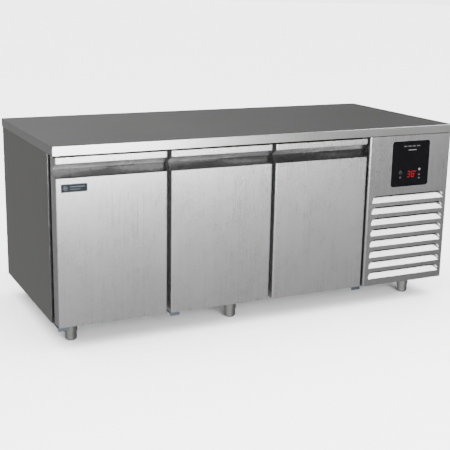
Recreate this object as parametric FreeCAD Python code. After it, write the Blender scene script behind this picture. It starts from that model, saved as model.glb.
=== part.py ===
import math
import os

import FreeCAD
import Part

# Refrigerated preparation counter: an insulated steel cabinet with three hinged doors, a
# ventilated machine compartment at its right end, and a flat steel worktop on six short legs.
# Millimetres. +X to the right, +Y to the back, +Z up; the origin is on the floor under the
# middle of the worktop.

V = FreeCAD.Vector

# ---------------------------------------------------------------- driving dimensions
WIDTH = 1795.0                 # worktop, left to right
DEPTH = 790.0                  # worktop, front to back
HEIGHT = 785.0                 # floor to worktop

WORKTOP_SHEET = 1.5
FASCIA = 35.0                  # height of the worktop's turned-down edge
FASCIA_RETURN = 25.0           # width of the lip turned back under the worktop
WORKTOP_EDGE_RADIUS = 2.5

BODY_BOTTOM = 90.0             # underside of the cabinet above the floor
BODY_INSET = 3.0               # sides and back, inside the worktop's edge
FRAME_SETBACK = 80.0           # door frame behind the worktop's front edge
SKIN = 1.0                     # outer sheet
LINER = 0.8                    # inner sheet
FRAME_SHEET = 1.5
WALL = 50.0                    # insulated wall, skin to liner

DOOR_COUNT = 3
DOOR_BANK_LEFT = 10.0          # first door from the worktop's left end
DOOR_BANK_WIDTH = 1347.0
DOOR_GAP = 16.0
DOOR_FACE_SETBACK = 2.0
DOOR_SKIN_DEPTH = 58.0
DOOR_INNER_SHEET = 3.0
DOOR_BOTTOM = 94.0
DOOR_TOP = 742.0
DOOR_EDGE_RADIUS = 5.0
GRIP_TOP = 720.0               # bottom edge of the lip above the finger groove
GRIP_APEX = 695.0              # deepest line of the groove
GRIP_BOTTOM = 665.0            # where the groove comes back to the door's face
GRIP_DEPTH = 36.0
GASKET_INSET = 14.0
GASKET_WIDTH = 14.0
GASKET_CLEARANCE = 0.3
PLUG_DEPTH = 10.0              # raised field of the door's inner panel
PLUG_MARGIN = 4.0              # between the gasket and the field
PLUG_CHAMFER = 8.0

HINGE_INSET = 12.0             # pin axis from the door's hinge-side edge
HINGE_SETBACK = 18.0           # pin axis behind the door's face
PIN_RADIUS = 4.0
PIN_CLEARANCE = 0.05
PIN_REACH = 12.0               # length of pin inside the door
BUSH_RADIUS = 9.0
BUSH_LENGTH = 14.0
BRACKET_SHEET = 3.0
UPPER_BRACKET_HALF = 10.0      # half width
UPPER_BRACKET_SETBACK = 9.0    # front edge behind the door's face
UPPER_BRACKET_GAP = 4.0        # above the door
UPPER_BRACKET_TAB = 9.0        # tab on the frame, below the door's top
LOWER_BRACKET_WIDTH = 42.0
LOWER_BRACKET_OVERHANG = 2.0   # past the door's hinge-side edge
LOWER_BRACKET_SETBACK = 6.0
LOWER_BRACKET_GAP = 2.0        # below the door
LOWER_BRACKET_TAB = 13.0       # tab on the frame, above the door's bottom
LOWER_BRACKET_LIP = 14.0       # height of the turned-down front lip, with the plate

MULLION_WIDTH = 56.0
MULLION_DEPTH = 50.0
MULLION_SHEET = 1.2

SHELF_WIDTH = 325.0
SHELF_DEPTH = 520.0
SHELF_HEIGHT = 405.0
SHELF_ROD = 3.0                # radius of a shelf's border rod
SHELF_WIRE = 1.5               # radius of its cross wires
SHELF_WIRES = 19
SHELF_SETBACK = 10.0           # shelf behind the front frame
RAIL = 20.0                    # both legs of a shelf runner
RAIL_SHEET = 1.5
RAIL_SIDE_GAP = 3.0            # runner outside the shelf's edge
RAIL_FRONT_GAP = 5.0           # runner behind the mullion
POST = 15.0
POST_DEPTH = 8.0
POST_INSET = 20.0              # post from a runner's end

EVAPORATOR_INSET = 24.0        # from the left of the third bay
EVAPORATOR_WIDTH = 330.0
EVAPORATOR_DEPTH = 80.0
EVAPORATOR_BOTTOM = 420.0
EVAPORATOR_TOP = 685.0
COVER_SHEET = 1.2
COVER_SLOTS = 9
COVER_SLOT_PITCH = 25.0
COVER_SLOT_HEIGHT = 8.0
COVER_SLOT_BOTTOM = 30.0       # first slot above the cover's bottom
COVER_SLOT_MARGIN = 20.0       # slots from the fan opening and from the cover's end
COVER_OPENING_GAP = 4.0        # around the fan
MOTOR_FOOT = 26.0              # reach of the two feet that hold the motor's bar
MOTOR_FOOT_HALF = 5.0
COLD_FAN_INSET = 100.0         # fan axis from the cover's left end
COLD_FAN_RADIUS = 68.0
COLD_FAN_SETBACK = 4.0         # fan behind the cover's front
COLD_FAN_THICKNESS = 18.0
COLD_HUB_RADIUS = 18.0
COLD_SHAFT = 12.0
COLD_MOTOR_RADIUS = 28.0
COLD_MOTOR_LENGTH = 36.0
COLD_COIL_MARGIN = 15.0        # coil inside the cover's ends, top and bottom
COLD_COIL_FRONT = 12.0
COLD_COIL_BACK = 8.0
COLD_COIL_START = 10.0         # coil right of the slots' left ends
COLD_FIN_PITCH = 9.0

BLADE_COUNT = 5
BLADE_SHEET = 2.0
BLADE_ROOT = 4.0               # blade's overlap into the hub
BLADE_CHORD = 0.55             # blade's chord, of the fan's radius
BLADE_PITCH = 62.0             # degrees from the axis
BLADE_MARGIN = 1.0             # blades inside the hub's two faces
MOTOR_BAR = 3.0
MOTOR_BAR_HALF = 10.0
FIN_SHEET = 0.8
FIN_MARGIN = 20.0              # tube ends beyond the fins, both together
TUBE_RADIUS = 4.5
TUBE_ROWS = 8

MACHINE_LEFT = 1369.0          # machine compartment front, from the worktop's left end
MACHINE_TOP = 747.0
MACHINE_RETURN = 25.0          # the panel's right return; the left one reaches the frame
MACHINE_BEND = 8.0
FRONT_SHEET = 1.2
SIDE_PANEL_GAP = 0.5           # right side panel behind the front panel's return
BASE_SETBACK = 30.0
BASE_SHEET = 2.0
BASE_FLANGE = 18.0

CONDENSER_LEFT = 1395.0        # from the worktop's left end
CONDENSER_WIDTH = 370.0
CONDENSER_BOTTOM = 110.0
CONDENSER_HEIGHT = 320.0
CONDENSER_SETBACK = 70.0       # from the worktop's front edge
CONDENSER_DEPTH = 55.0
HOT_FIN_PITCH = 18.0
SHROUD_SETBACK = 136.0
SHROUD_SHEET = 2.0
SHROUD_RING = 1.5              # ring sheet
SHROUD_RING_BACK = 165.0       # ring's back edge, from the worktop's front edge
HOT_FAN_SETBACK = 142.0
HOT_FAN_RADIUS = 122.0
HOT_FAN_GAP = 6.0
HOT_FAN_THICKNESS = 20.0
HOT_HUB_RADIUS = 30.0
HOT_SHAFT = 18.0
HOT_SHAFT_HOLE = 17.0
HOT_MOTOR_RADIUS = 42.0
HOT_MOTOR_LENGTH = 60.0

COMPRESSOR_X = 1510.0          # from the worktop's left end
COMPRESSOR_Y = 560.0           # from the worktop's front edge
COMPRESSOR_RADIUS = 82.0
COMPRESSOR_HEIGHT = 180.0
COMPRESSOR_SHELL = 6.0
COMPRESSOR_DOME = 38.0
COMPRESSOR_DOME_INSIDE = 34.0
COMPRESSOR_FOOT = (190.0, 120.0, 4.0)
ELECTRICAL_BOX_PLACE = (1640.0, 480.0)
ELECTRICAL_BOX_SIZE = (130.0, 90.0, 160.0)
ELECTRICAL_BOX_WALL = 2.0

GRILLE_ROWS = 12
GRILLE_PITCH = 22.0
GRILLE_BOTTOM = 180.0
GRILLE_SLOT = (155.0, 7.0)
GRILLE_SLOT_STARTS = (-170.0, 15.0)   # two columns, from the panel's middle
GLAND_HEIGHT = 130.0
GLAND_RADIUS = 8.0
GLAND_BORE = 4.0
GLAND_COLLAR = (11.0, 2.5)     # radius and thickness, behind the panel
GLAND_NECK = 12.0
GLAND_NUT = (12.0, 10.0)       # corner radius and length, inside the panel
GLAND_NUT_GAP = 3.0            # nut's face from the panel's back face

LOUVRE_COUNT = 8
LOUVRE_PITCH = 48.5
LOUVRE_BOTTOM = 120.0
LOUVRE_HEIGHT = 31.0
LOUVRE_LEFT = 1395.0
LOUVRE_WIDTH = 377.0
LOUVRE_CORNER = 26.0
LOUVRE_LEAN = 13.0             # how far a blade's top edge is pressed in
LOUVRE_SLOT = 8.0              # air gap above a blade

PANEL_LEFT = 1485.0
PANEL_WIDTH = 195.0
PANEL_BOTTOM = 524.0
PANEL_HEIGHT = 198.0
PANEL_RADIUS = 12.0
PANEL_GLASS = 3.0
PANEL_PROUD = 0.4              # glass in front of the sheet
RIM = 3.0
RIM_HEIGHT = 1.0
MODULE_LEFT = 30.0             # display module, from the glass's left and bottom edges
MODULE_BOTTOM = 20.0
MODULE_WIDTH = 135.0
MODULE_HEIGHT = 90.0
MODULE_BACK = 24.0             # behind the panel's face

BADGE_WIDTH = 100.0
BADGE_HEIGHT = 31.0
BADGE_THICKNESS = 0.8
BADGE_LEFT = 20.0              # from the first door's left edge
BADGE_DROP = 21.0              # below the groove

LEG_RADIUS = 25.5
LEG_BOTTOM = 38.0
LEG_PLATE = 68.0
LEG_PLATE_THICKNESS = 3.0
FOOT_RADIUS = 23.0
FOOT_CHAMFER = 6.0
FOOT_GAP = 0.5
STEM_RADIUS = 6.0
STEM_TOP = 78.0
STEM_BORE_TOP = 80.0
LEG_X = (88.0, 780.0, 1665.0)  # from the worktop's left end
LEG_SETBACK = 115.0            # front legs, from the worktop's front edge
REAR_LEG_SETBACK = 85.0

# ---------------------------------------------------------------- derived places
LEFT = -WIDTH / 2
RIGHT = WIDTH / 2
FRONT = -DEPTH / 2
BACK = DEPTH / 2
BODY_TOP = HEIGHT - FASCIA
FRAME_Y = FRONT + FRAME_SETBACK
BODY_LEFT = LEFT + BODY_INSET
BODY_RIGHT = RIGHT - BODY_INSET
BODY_BACK = BACK - BODY_INSET
FACE_Y = FRONT + DOOR_FACE_SETBACK
SKIN_BACK = FACE_Y + DOOR_SKIN_DEPTH
DOOR_WIDTH = (DOOR_BANK_WIDTH - (DOOR_COUNT - 1) * DOOR_GAP) / DOOR_COUNT
COLD_RIGHT = LEFT + MACHINE_LEFT
CAVITY_LEFT = BODY_LEFT + WALL
CAVITY_RIGHT = COLD_RIGHT - WALL
CAVITY_FRONT = FRAME_Y + FRAME_SHEET
CAVITY_BACK = BODY_BACK - WALL
CAVITY_BOTTOM = BODY_BOTTOM + WALL
CAVITY_TOP = BODY_TOP - WALL
MACHINE_RIGHT = BODY_RIGHT - SKIN
CONDENSER_X = LEFT + CONDENSER_LEFT
CONDENSER_TOP = CONDENSER_BOTTOM + CONDENSER_HEIGHT


def box(x0, x1, y0, y1, z0, z1):
    return Part.makeBox(x1 - x0, y1 - y0, z1 - z0, V(x0, y0, z0))


def rod(radius, start, end):
    along = end - start
    return Part.makeCylinder(radius, along.Length, start, along)


def fuse(shapes):
    return shapes[0].multiFuse(shapes[1:]).removeSplitter()


def rounded_plate(x0, x1, z0, z1, y0, y1, radius):
    """A plate lying across Y with its four corners rounded."""
    plate = box(x0, x1, y0, y1, z0, z1)
    corners = [e for e in plate.Edges if abs(e.Vertexes[0].Y - e.Vertexes[1].Y) > 1e-6]
    return plate.makeFillet(radius, corners)


def save(name, shape):
    if isinstance(shape, list):
        shape = Part.makeCompound(shape)
    shape.exportStep("parts/" + name + ".step")


# ---------------------------------------------------------------- worktop
def make_worktop():
    top = box(LEFT, RIGHT, FRONT, BACK, BODY_TOP, HEIGHT)
    rounded = [e for e in top.Edges if min(v.Z for v in e.Vertexes) > HEIGHT - 1e-6]
    rounded += [e for e in top.Edges if abs(e.Vertexes[0].Z - e.Vertexes[1].Z) > 1.0]
    top = top.makeFillet(WORKTOP_EDGE_RADIUS, rounded)
    t = WORKTOP_SHEET
    inside = box(LEFT + t, RIGHT - t, FRONT + t, BACK - t, BODY_TOP + t, HEIGHT - t)
    r = FASCIA_RETURN
    hole = box(LEFT + r, RIGHT - r, FRONT + r, BACK - r, BODY_TOP - t, BODY_TOP + 2 * t)
    save("worktop", top.cut(inside).cut(hole))
    save("worktop_core", inside)


# ---------------------------------------------------------------- cabinet
def make_cabinet():
    left = box(BODY_LEFT, BODY_LEFT + SKIN, FRAME_Y, BODY_BACK, BODY_BOTTOM, BODY_TOP)
    save("left_side_panel", left)
    inner_left = BODY_LEFT + SKIN
    back = box(inner_left, COLD_RIGHT, BODY_BACK - SKIN, BODY_BACK, BODY_BOTTOM, BODY_TOP)
    save("back_panel", back)
    inner_back = BODY_BACK - SKIN
    floor = box(inner_left, COLD_RIGHT, FRAME_Y, inner_back, BODY_BOTTOM, BODY_BOTTOM + SKIN)
    wall = box(COLD_RIGHT - SKIN, COLD_RIGHT, FRAME_Y, inner_back, BODY_BOTTOM, BODY_TOP)
    save("base_and_partition_panel", fuse([floor, wall]))

    t = LINER
    outer = box(CAVITY_LEFT - t, CAVITY_RIGHT + t, CAVITY_FRONT, CAVITY_BACK + t,
                CAVITY_BOTTOM - t, CAVITY_TOP + t)
    cavity = box(CAVITY_LEFT, CAVITY_RIGHT, CAVITY_FRONT, CAVITY_BACK, CAVITY_BOTTOM, CAVITY_TOP)
    save("inner_liner", outer.cut(cavity))

    foam_left = inner_left
    foam_right = COLD_RIGHT - SKIN
    foam_bottom = BODY_BOTTOM + SKIN
    slabs = [
        box(foam_left, CAVITY_LEFT - t, CAVITY_FRONT, inner_back, foam_bottom, BODY_TOP),
        box(CAVITY_RIGHT + t, foam_right, CAVITY_FRONT, inner_back, foam_bottom, BODY_TOP),
        box(CAVITY_LEFT - t, CAVITY_RIGHT + t, CAVITY_FRONT, inner_back, foam_bottom, CAVITY_BOTTOM - t),
        box(CAVITY_LEFT - t, CAVITY_RIGHT + t, CAVITY_FRONT, inner_back, CAVITY_TOP + t, BODY_TOP),
        box(CAVITY_LEFT - t, CAVITY_RIGHT + t, CAVITY_BACK + t, inner_back,
            CAVITY_BOTTOM - t, CAVITY_TOP + t),
    ]
    save("cabinet_insulation", slabs)


def door_left(index):
    return LEFT + DOOR_BANK_LEFT + index * (DOOR_WIDTH + DOOR_GAP)


def mullion_centres():
    return [door_left(i) - DOOR_GAP / 2 for i in range(1, DOOR_COUNT)]


def bays():
    """Left and right limits of the clear bay behind each door."""
    half = MULLION_WIDTH / 2
    lefts = [CAVITY_LEFT] + [c + half for c in mullion_centres()]
    rights = [c - half for c in mullion_centres()] + [CAVITY_RIGHT]
    return list(zip(lefts, rights))


def make_front_frame():
    frame = box(BODY_LEFT + SKIN, COLD_RIGHT - SKIN, FRAME_Y, CAVITY_FRONT,
                BODY_BOTTOM + SKIN, BODY_TOP)
    for left, right in bays():
        frame = frame.cut(box(left, right, FRAME_Y, CAVITY_FRONT, CAVITY_BOTTOM, CAVITY_TOP))
    save("front_frame", frame)
    half = MULLION_WIDTH / 2
    t = MULLION_SHEET
    for i, centre in enumerate(mullion_centres()):
        tube = box(centre - half, centre + half, CAVITY_FRONT, CAVITY_FRONT + MULLION_DEPTH,
                   CAVITY_BOTTOM, CAVITY_TOP)
        bore = box(centre - half + t, centre + half - t, CAVITY_FRONT + t,
                   CAVITY_FRONT + MULLION_DEPTH - t, CAVITY_BOTTOM, CAVITY_TOP)
        save("mullion_%d" % (i + 1), tube.cut(bore))


# ---------------------------------------------------------------- doors
def hinge_side(index):
    """-1 for a door hinged on its left edge, +1 for one hinged on its right edge."""
    return 1 if index == DOOR_COUNT - 1 else -1


def hinge_axis(index):
    left = door_left(index)
    x = left + HINGE_INSET if hinge_side(index) < 0 else left + DOOR_WIDTH - HINGE_INSET
    return x, FACE_Y + HINGE_SETBACK


def door_body(left, inset):
    """The door's outside form, or the space inside its sheet when inset is the sheet."""
    back = SKIN_BACK + inset
    outline = [
        V(0, FACE_Y, DOOR_BOTTOM), V(0, back, DOOR_BOTTOM), V(0, back, DOOR_TOP),
        V(0, FACE_Y, DOOR_TOP), V(0, FACE_Y, GRIP_TOP), V(0, FACE_Y + GRIP_DEPTH, GRIP_APEX),
        V(0, FACE_Y, GRIP_BOTTOM), V(0, FACE_Y, DOOR_BOTTOM),
    ]
    wire = Part.makePolygon(outline)
    if inset:
        wire = wire.makeOffset2D(-inset, 2)
    face = Part.Face(wire)
    face.translate(V(left + inset, 0, 0))
    body = face.extrude(V(DOOR_WIDTH - 2 * inset, 0, 0))
    front = FACE_Y + inset
    upright = [e for e in body.Edges
               if max(abs(v.Y - front) for v in e.Vertexes) < 0.5
               and abs(e.Vertexes[0].Z - e.Vertexes[1].Z) > 5.0]
    return body.makeFillet(DOOR_EDGE_RADIUS - inset, upright)


def make_door(index):
    name = "door_%d_" % (index + 1)
    left = door_left(index)
    right = left + DOOR_WIDTH
    x, y = hinge_axis(index)
    bush_ends = [(DOOR_TOP - BUSH_LENGTH, DOOR_TOP), (DOOR_BOTTOM, DOOR_BOTTOM + BUSH_LENGTH)]
    bushes = []
    sockets = []
    for z0, z1 in bush_ends:
        bush = rod(BUSH_RADIUS, V(x, y, z0), V(x, y, z1))
        sockets.append(bush)
        bushes.append(bush.cut(rod(PIN_RADIUS + PIN_CLEARANCE, V(x, y, z0), V(x, y, z1))))
    save(name + "bushes", bushes)

    outside = door_body(left, 0.0)
    inside = door_body(left, SKIN)
    skin = outside.cut(inside)
    foam = inside
    for socket in sockets:
        skin = skin.cut(socket)
        foam = foam.cut(socket)
    save(name + "skin", skin)
    upper = foam.cut(box(LEFT, RIGHT, FRONT, BACK, 0, GRIP_APEX))
    lower = foam.cut(box(LEFT, RIGHT, FRONT, BACK, GRIP_APEX, HEIGHT))
    behind = box(LEFT, RIGHT, SKIN_BACK, BACK, 0, HEIGHT)
    save(name + "foam", [upper.cut(behind), lower.cut(behind)])

    sheet_back = SKIN_BACK + DOOR_INNER_SHEET
    liner = box(left, right, SKIN_BACK, sheet_back, DOOR_BOTTOM, DOOR_TOP)
    border = GASKET_INSET + GASKET_WIDTH + PLUG_MARGIN
    plug = box(left + border, right - border, sheet_back, sheet_back + PLUG_DEPTH,
               DOOR_BOTTOM + border, DOOR_TOP - border)
    rim = [e for e in plug.Edges if min(v.Y for v in e.Vertexes) > sheet_back + PLUG_DEPTH / 2]
    plug = plug.makeChamfer(PLUG_CHAMFER, rim)
    save(name + "inner_panel", fuse([liner, plug]))

    a = GASKET_INSET
    b = GASKET_INSET + GASKET_WIDTH
    seal_back = FRAME_Y - GASKET_CLEARANCE
    seal = box(left + a, right - a, sheet_back, seal_back, DOOR_BOTTOM + a, DOOR_TOP - a)
    hole = box(left + b, right - b, sheet_back, seal_back, DOOR_BOTTOM + b, DOOR_TOP - b)
    save(name + "gasket", seal.cut(hole))


def make_badge():
    left = door_left(0) + BADGE_LEFT
    top = GRIP_BOTTOM - BADGE_DROP
    save("door_1_badge", box(left, left + BADGE_WIDTH, FACE_Y - BADGE_THICKNESS, FACE_Y,
                             top - BADGE_HEIGHT, top))


def make_hinges(index):
    x, y = hinge_axis(index)
    t = BRACKET_SHEET

    half = UPPER_BRACKET_HALF
    bottom = DOOR_TOP + UPPER_BRACKET_GAP
    plate = box(x - half, x + half, FACE_Y + UPPER_BRACKET_SETBACK, FRAME_Y, bottom, bottom + t)
    tab = box(x - half, x + half, FRAME_Y - t, FRAME_Y, DOOR_TOP - UPPER_BRACKET_TAB, bottom)
    pin = rod(PIN_RADIUS, V(x, y, DOOR_TOP - PIN_REACH), V(x, y, bottom))
    save("top_hinge_%d" % (index + 1), fuse([plate, tab, pin]))

    side = hinge_side(index)
    near = x + side * (HINGE_INSET + LOWER_BRACKET_OVERHANG)
    x0, x1 = sorted((near, near - side * LOWER_BRACKET_WIDTH))
    front = FACE_Y + LOWER_BRACKET_SETBACK
    top = DOOR_BOTTOM - LOWER_BRACKET_GAP
    plate = box(x0, x1, front, FRAME_Y, top - t, top)
    tab = box(x0, x1, FRAME_Y - t, FRAME_Y, top, DOOR_BOTTOM + LOWER_BRACKET_TAB)
    lip = box(x0, x1, front, front + t, top - LOWER_BRACKET_LIP, top - t)
    pin = rod(PIN_RADIUS, V(x, y, top), V(x, y, DOOR_BOTTOM + PIN_REACH))
    save("bottom_hinge_%d" % (index + 1), fuse([plate, tab, lip, pin]))


# ---------------------------------------------------------------- inside the cold space
def make_shelf(index):
    left, right = bays()[index]
    centre = (left + right) / 2
    x0 = centre - SHELF_WIDTH / 2 + SHELF_ROD
    x1 = centre + SHELF_WIDTH / 2 - SHELF_ROD
    y0 = CAVITY_FRONT + SHELF_SETBACK + SHELF_ROD
    y1 = y0 + SHELF_DEPTH - 2 * SHELF_ROD
    z = SHELF_HEIGHT
    r = SHELF_ROD
    corners = [V(x0, y0, z), V(x1, y0, z), V(x1, y1, z), V(x0, y1, z)]
    pieces = [rod(r, corners[i], corners[(i + 1) % 4]) for i in range(4)]
    pieces += [Part.makeSphere(r, c) for c in corners]
    for i in range(SHELF_WIRES):
        wire_x = x0 + (x1 - x0) * (i + 1) / (SHELF_WIRES + 1)
        pieces.append(rod(SHELF_WIRE, V(wire_x, y0, z + r / 2), V(wire_x, y1, z + r / 2)))
    for share in (1 / 3, 2 / 3):
        brace_y = y0 + (y1 - y0) * share
        pieces.append(rod(r, V(x0, brace_y, z - r / 2), V(x1, brace_y, z - r / 2)))
    save("shelf_%d" % (index + 1), fuse(pieces))


def make_shelf_supports():
    pieces = []
    rail_top = SHELF_HEIGHT - SHELF_ROD - SHELF_WIRE
    rail_front = CAVITY_FRONT + MULLION_DEPTH + RAIL_FRONT_GAP
    rail_back = CAVITY_FRONT + SHELF_SETBACK + SHELF_DEPTH
    for left, right in bays():
        centre = (left + right) / 2
        for side in (-1, 1):
            outer = centre + side * (SHELF_WIDTH / 2 + RAIL_SIDE_GAP)
            x0, x1 = sorted((outer, outer - side * RAIL))
            ledge = box(x0, x1, rail_front, rail_back, rail_top - RAIL_SHEET, rail_top)
            x0, x1 = sorted((outer, outer - side * RAIL_SHEET))
            web = box(x0, x1, rail_front, rail_back, rail_top, rail_top + RAIL)
            pieces.append(fuse([ledge, web]))
            x0, x1 = sorted((outer, outer + side * POST_DEPTH))
            for y in (rail_front + POST_INSET, rail_back - POST_INSET - POST):
                pieces.append(box(x0, x1, y, y + POST, CAVITY_BOTTOM, CAVITY_TOP))
    save("shelf_supports", pieces)


def make_fan(name, centre, radius, hub_radius, thickness, shaft_length):
    """A fan turning about Y; centre is the middle of the hub's front face."""
    x, y, z = centre
    hub = rod(hub_radius, V(x, y, z), V(x, y + thickness, z))
    shaft = rod(PIN_RADIUS, V(x, y + thickness, z), V(x, y + thickness + shaft_length, z))
    chord = radius * BLADE_CHORD
    blade = Part.makeBox(radius - hub_radius + BLADE_ROOT, BLADE_SHEET, chord,
                         V(0, -BLADE_SHEET / 2, -chord / 2))
    blade.rotate(V(0, 0, 0), V(1, 0, 0), BLADE_PITCH)
    blade.translate(V(hub_radius - BLADE_ROOT, thickness / 2, 0))
    slab = box(-radius, radius, BLADE_MARGIN, thickness - BLADE_MARGIN, -radius, radius)
    blade = blade.common(slab)
    pieces = [hub, shaft]
    for i in range(BLADE_COUNT):
        turned = blade.copy()
        turned.rotate(V(0, 0, 0), V(0, 1, 0), 360.0 * i / BLADE_COUNT)
        turned.translate(V(x, y, z))
        pieces.append(turned)
    save(name, fuse(pieces))


def make_motor(name, centre, radius, length, bar_reach, shaft_depth):
    """A motor on a flat bar; centre is the middle of the bar's front face."""
    x, y, z = centre
    can_front = y + MOTOR_BAR
    bar = box(x - bar_reach, x + bar_reach, y, can_front, z - MOTOR_BAR_HALF, z + MOTOR_BAR_HALF)
    can = rod(radius, V(x, can_front, z), V(x, can_front + length, z))
    bore = rod(PIN_RADIUS + PIN_CLEARANCE, V(x, y - 1, z), V(x, y + shaft_depth, z))
    save(name, fuse([bar, can]).cut(bore))


def fin_block(x0, x1, y0, y1, z0, z1, pitch):
    """A finned coil: thin upright fins on straight tubes along X, joined by bends at their ends."""
    pieces = []
    count = int((x1 - x0 - FIN_MARGIN) / pitch)
    first = (x0 + x1 - (count - 1) * pitch) / 2
    for i in range(count):
        x = first + i * pitch
        pieces.append(box(x - FIN_SHEET / 2, x + FIN_SHEET / 2, y0, y1, z0, z1))
    y = (y0 + y1) / 2
    r = TUBE_RADIUS
    step = (z1 - z0) / TUBE_ROWS
    heights = [z0 + step * (i + 0.5) for i in range(TUBE_ROWS)]
    for z in heights:
        pieces.append(rod(r, V(x0, y, z), V(x1, y, z)))
    for i, z in enumerate(heights[:-1]):
        end = x1 if i % 2 == 0 else x0
        pieces.append(rod(r, V(end, y, z), V(end, y, z + step)))
        pieces.append(Part.makeSphere(r, V(end, y, z)))
        pieces.append(Part.makeSphere(r, V(end, y, z + step)))
    return fuse(pieces)


def make_evaporator():
    x0 = bays()[2][0] + EVAPORATOR_INSET
    x1 = x0 + EVAPORATOR_WIDTH
    y0 = CAVITY_BACK - EVAPORATOR_DEPTH
    x = x0 + COLD_FAN_INSET
    z = (EVAPORATOR_BOTTOM + EVAPORATOR_TOP) / 2
    t = COVER_SHEET
    cover = box(x0, x1, y0, CAVITY_BACK, EVAPORATOR_BOTTOM, EVAPORATOR_TOP)
    inside = box(x0 + t, x1 - t, y0 + t, CAVITY_BACK, EVAPORATOR_BOTTOM + t, EVAPORATOR_TOP - t)
    cover = cover.cut(inside)
    opening = rod(COLD_FAN_RADIUS + COVER_OPENING_GAP, V(x, y0 - t, z), V(x, y0 + 2 * t, z))
    cover = cover.cut(opening)
    slot_left = x + COLD_FAN_RADIUS + COVER_SLOT_MARGIN
    slot_right = x1 - COVER_SLOT_MARGIN
    for i in range(COVER_SLOTS):
        bottom = EVAPORATOR_BOTTOM + COVER_SLOT_BOTTOM + i * COVER_SLOT_PITCH
        cover = cover.cut(box(slot_left, slot_right, y0 - t, y0 + 2 * t,
                              bottom, bottom + COVER_SLOT_HEIGHT))
    half = MOTOR_FOOT_HALF
    bar_reach = COLD_FAN_RADIUS + COVER_OPENING_GAP + 2 * half + 3
    for side in (-1, 1):
        foot_x = x + side * (bar_reach - half)
        cover = cover.fuse(box(foot_x - half, foot_x + half, y0 + t, y0 + MOTOR_FOOT,
                               z - MOTOR_BAR_HALF, z + MOTOR_BAR_HALF))
    save("evaporator_cover", cover.removeSplitter())

    margin = COLD_COIL_MARGIN
    save("evaporator_coil", fin_block(
        slot_left + COLD_COIL_START, x1 - margin, y0 + COLD_COIL_FRONT, CAVITY_BACK - COLD_COIL_BACK,
        EVAPORATOR_BOTTOM + margin, EVAPORATOR_TOP - margin, COLD_FIN_PITCH))
    make_fan("evaporator_fan", (x, y0 + COLD_FAN_SETBACK, z), COLD_FAN_RADIUS, COLD_HUB_RADIUS,
             COLD_FAN_THICKNESS, COLD_SHAFT)
    make_motor("evaporator_motor", (x, y0 + MOTOR_FOOT, z), COLD_MOTOR_RADIUS, COLD_MOTOR_LENGTH,
               bar_reach, COLD_SHAFT)


# ---------------------------------------------------------------- machine compartment
def louvre_outline(left, bottom, inset, drop):
    """A slot cut through the sheet, straight at the bottom and rounded at its top corners.

    inset draws its ends and corners in, and drop lowers its bottom edge."""
    plate = box(left + inset, left + LOUVRE_WIDTH - inset, FACE_Y - MACHINE_BEND,
                FACE_Y + MACHINE_RETURN, bottom - drop, bottom + LOUVRE_HEIGHT)
    top = [e for e in plate.Edges
           if abs(e.Vertexes[0].Y - e.Vertexes[1].Y) > 1.0
           and min(v.Z for v in e.Vertexes) > bottom + 1.0]
    return plate.makeFillet(LOUVRE_CORNER - inset, top)


def louvre(left, bottom):
    """The pressed-in blade and its closed ends, and the slot it fills."""
    t = FRONT_SHEET
    slot = louvre_outline(left, bottom, 0.0, 0.0)
    lean_top = bottom + LOUVRE_HEIGHT - LOUVRE_SLOT
    deep = FACE_Y + LOUVRE_LEAN
    profile = [V(left, FACE_Y, bottom), V(left, deep, lean_top), V(left, deep + t, lean_top),
               V(left, FACE_Y + t, bottom), V(left, FACE_Y, bottom)]
    blade = Part.Face(Part.makePolygon(profile)).extrude(V(LOUVRE_WIDTH, 0, 0))
    slot_top = bottom + LOUVRE_HEIGHT
    profile = [V(left, FACE_Y, bottom), V(left, deep + t, lean_top), V(left, deep + t, slot_top),
               V(left, FACE_Y, slot_top), V(left, FACE_Y, bottom)]
    wedge = Part.Face(Part.makePolygon(profile)).extrude(V(LOUVRE_WIDTH, 0, 0))
    ends = slot.cut(louvre_outline(left, bottom, t, 1.0)).common(wedge)
    return slot, blade.common(slot).fuse(ends)


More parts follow.
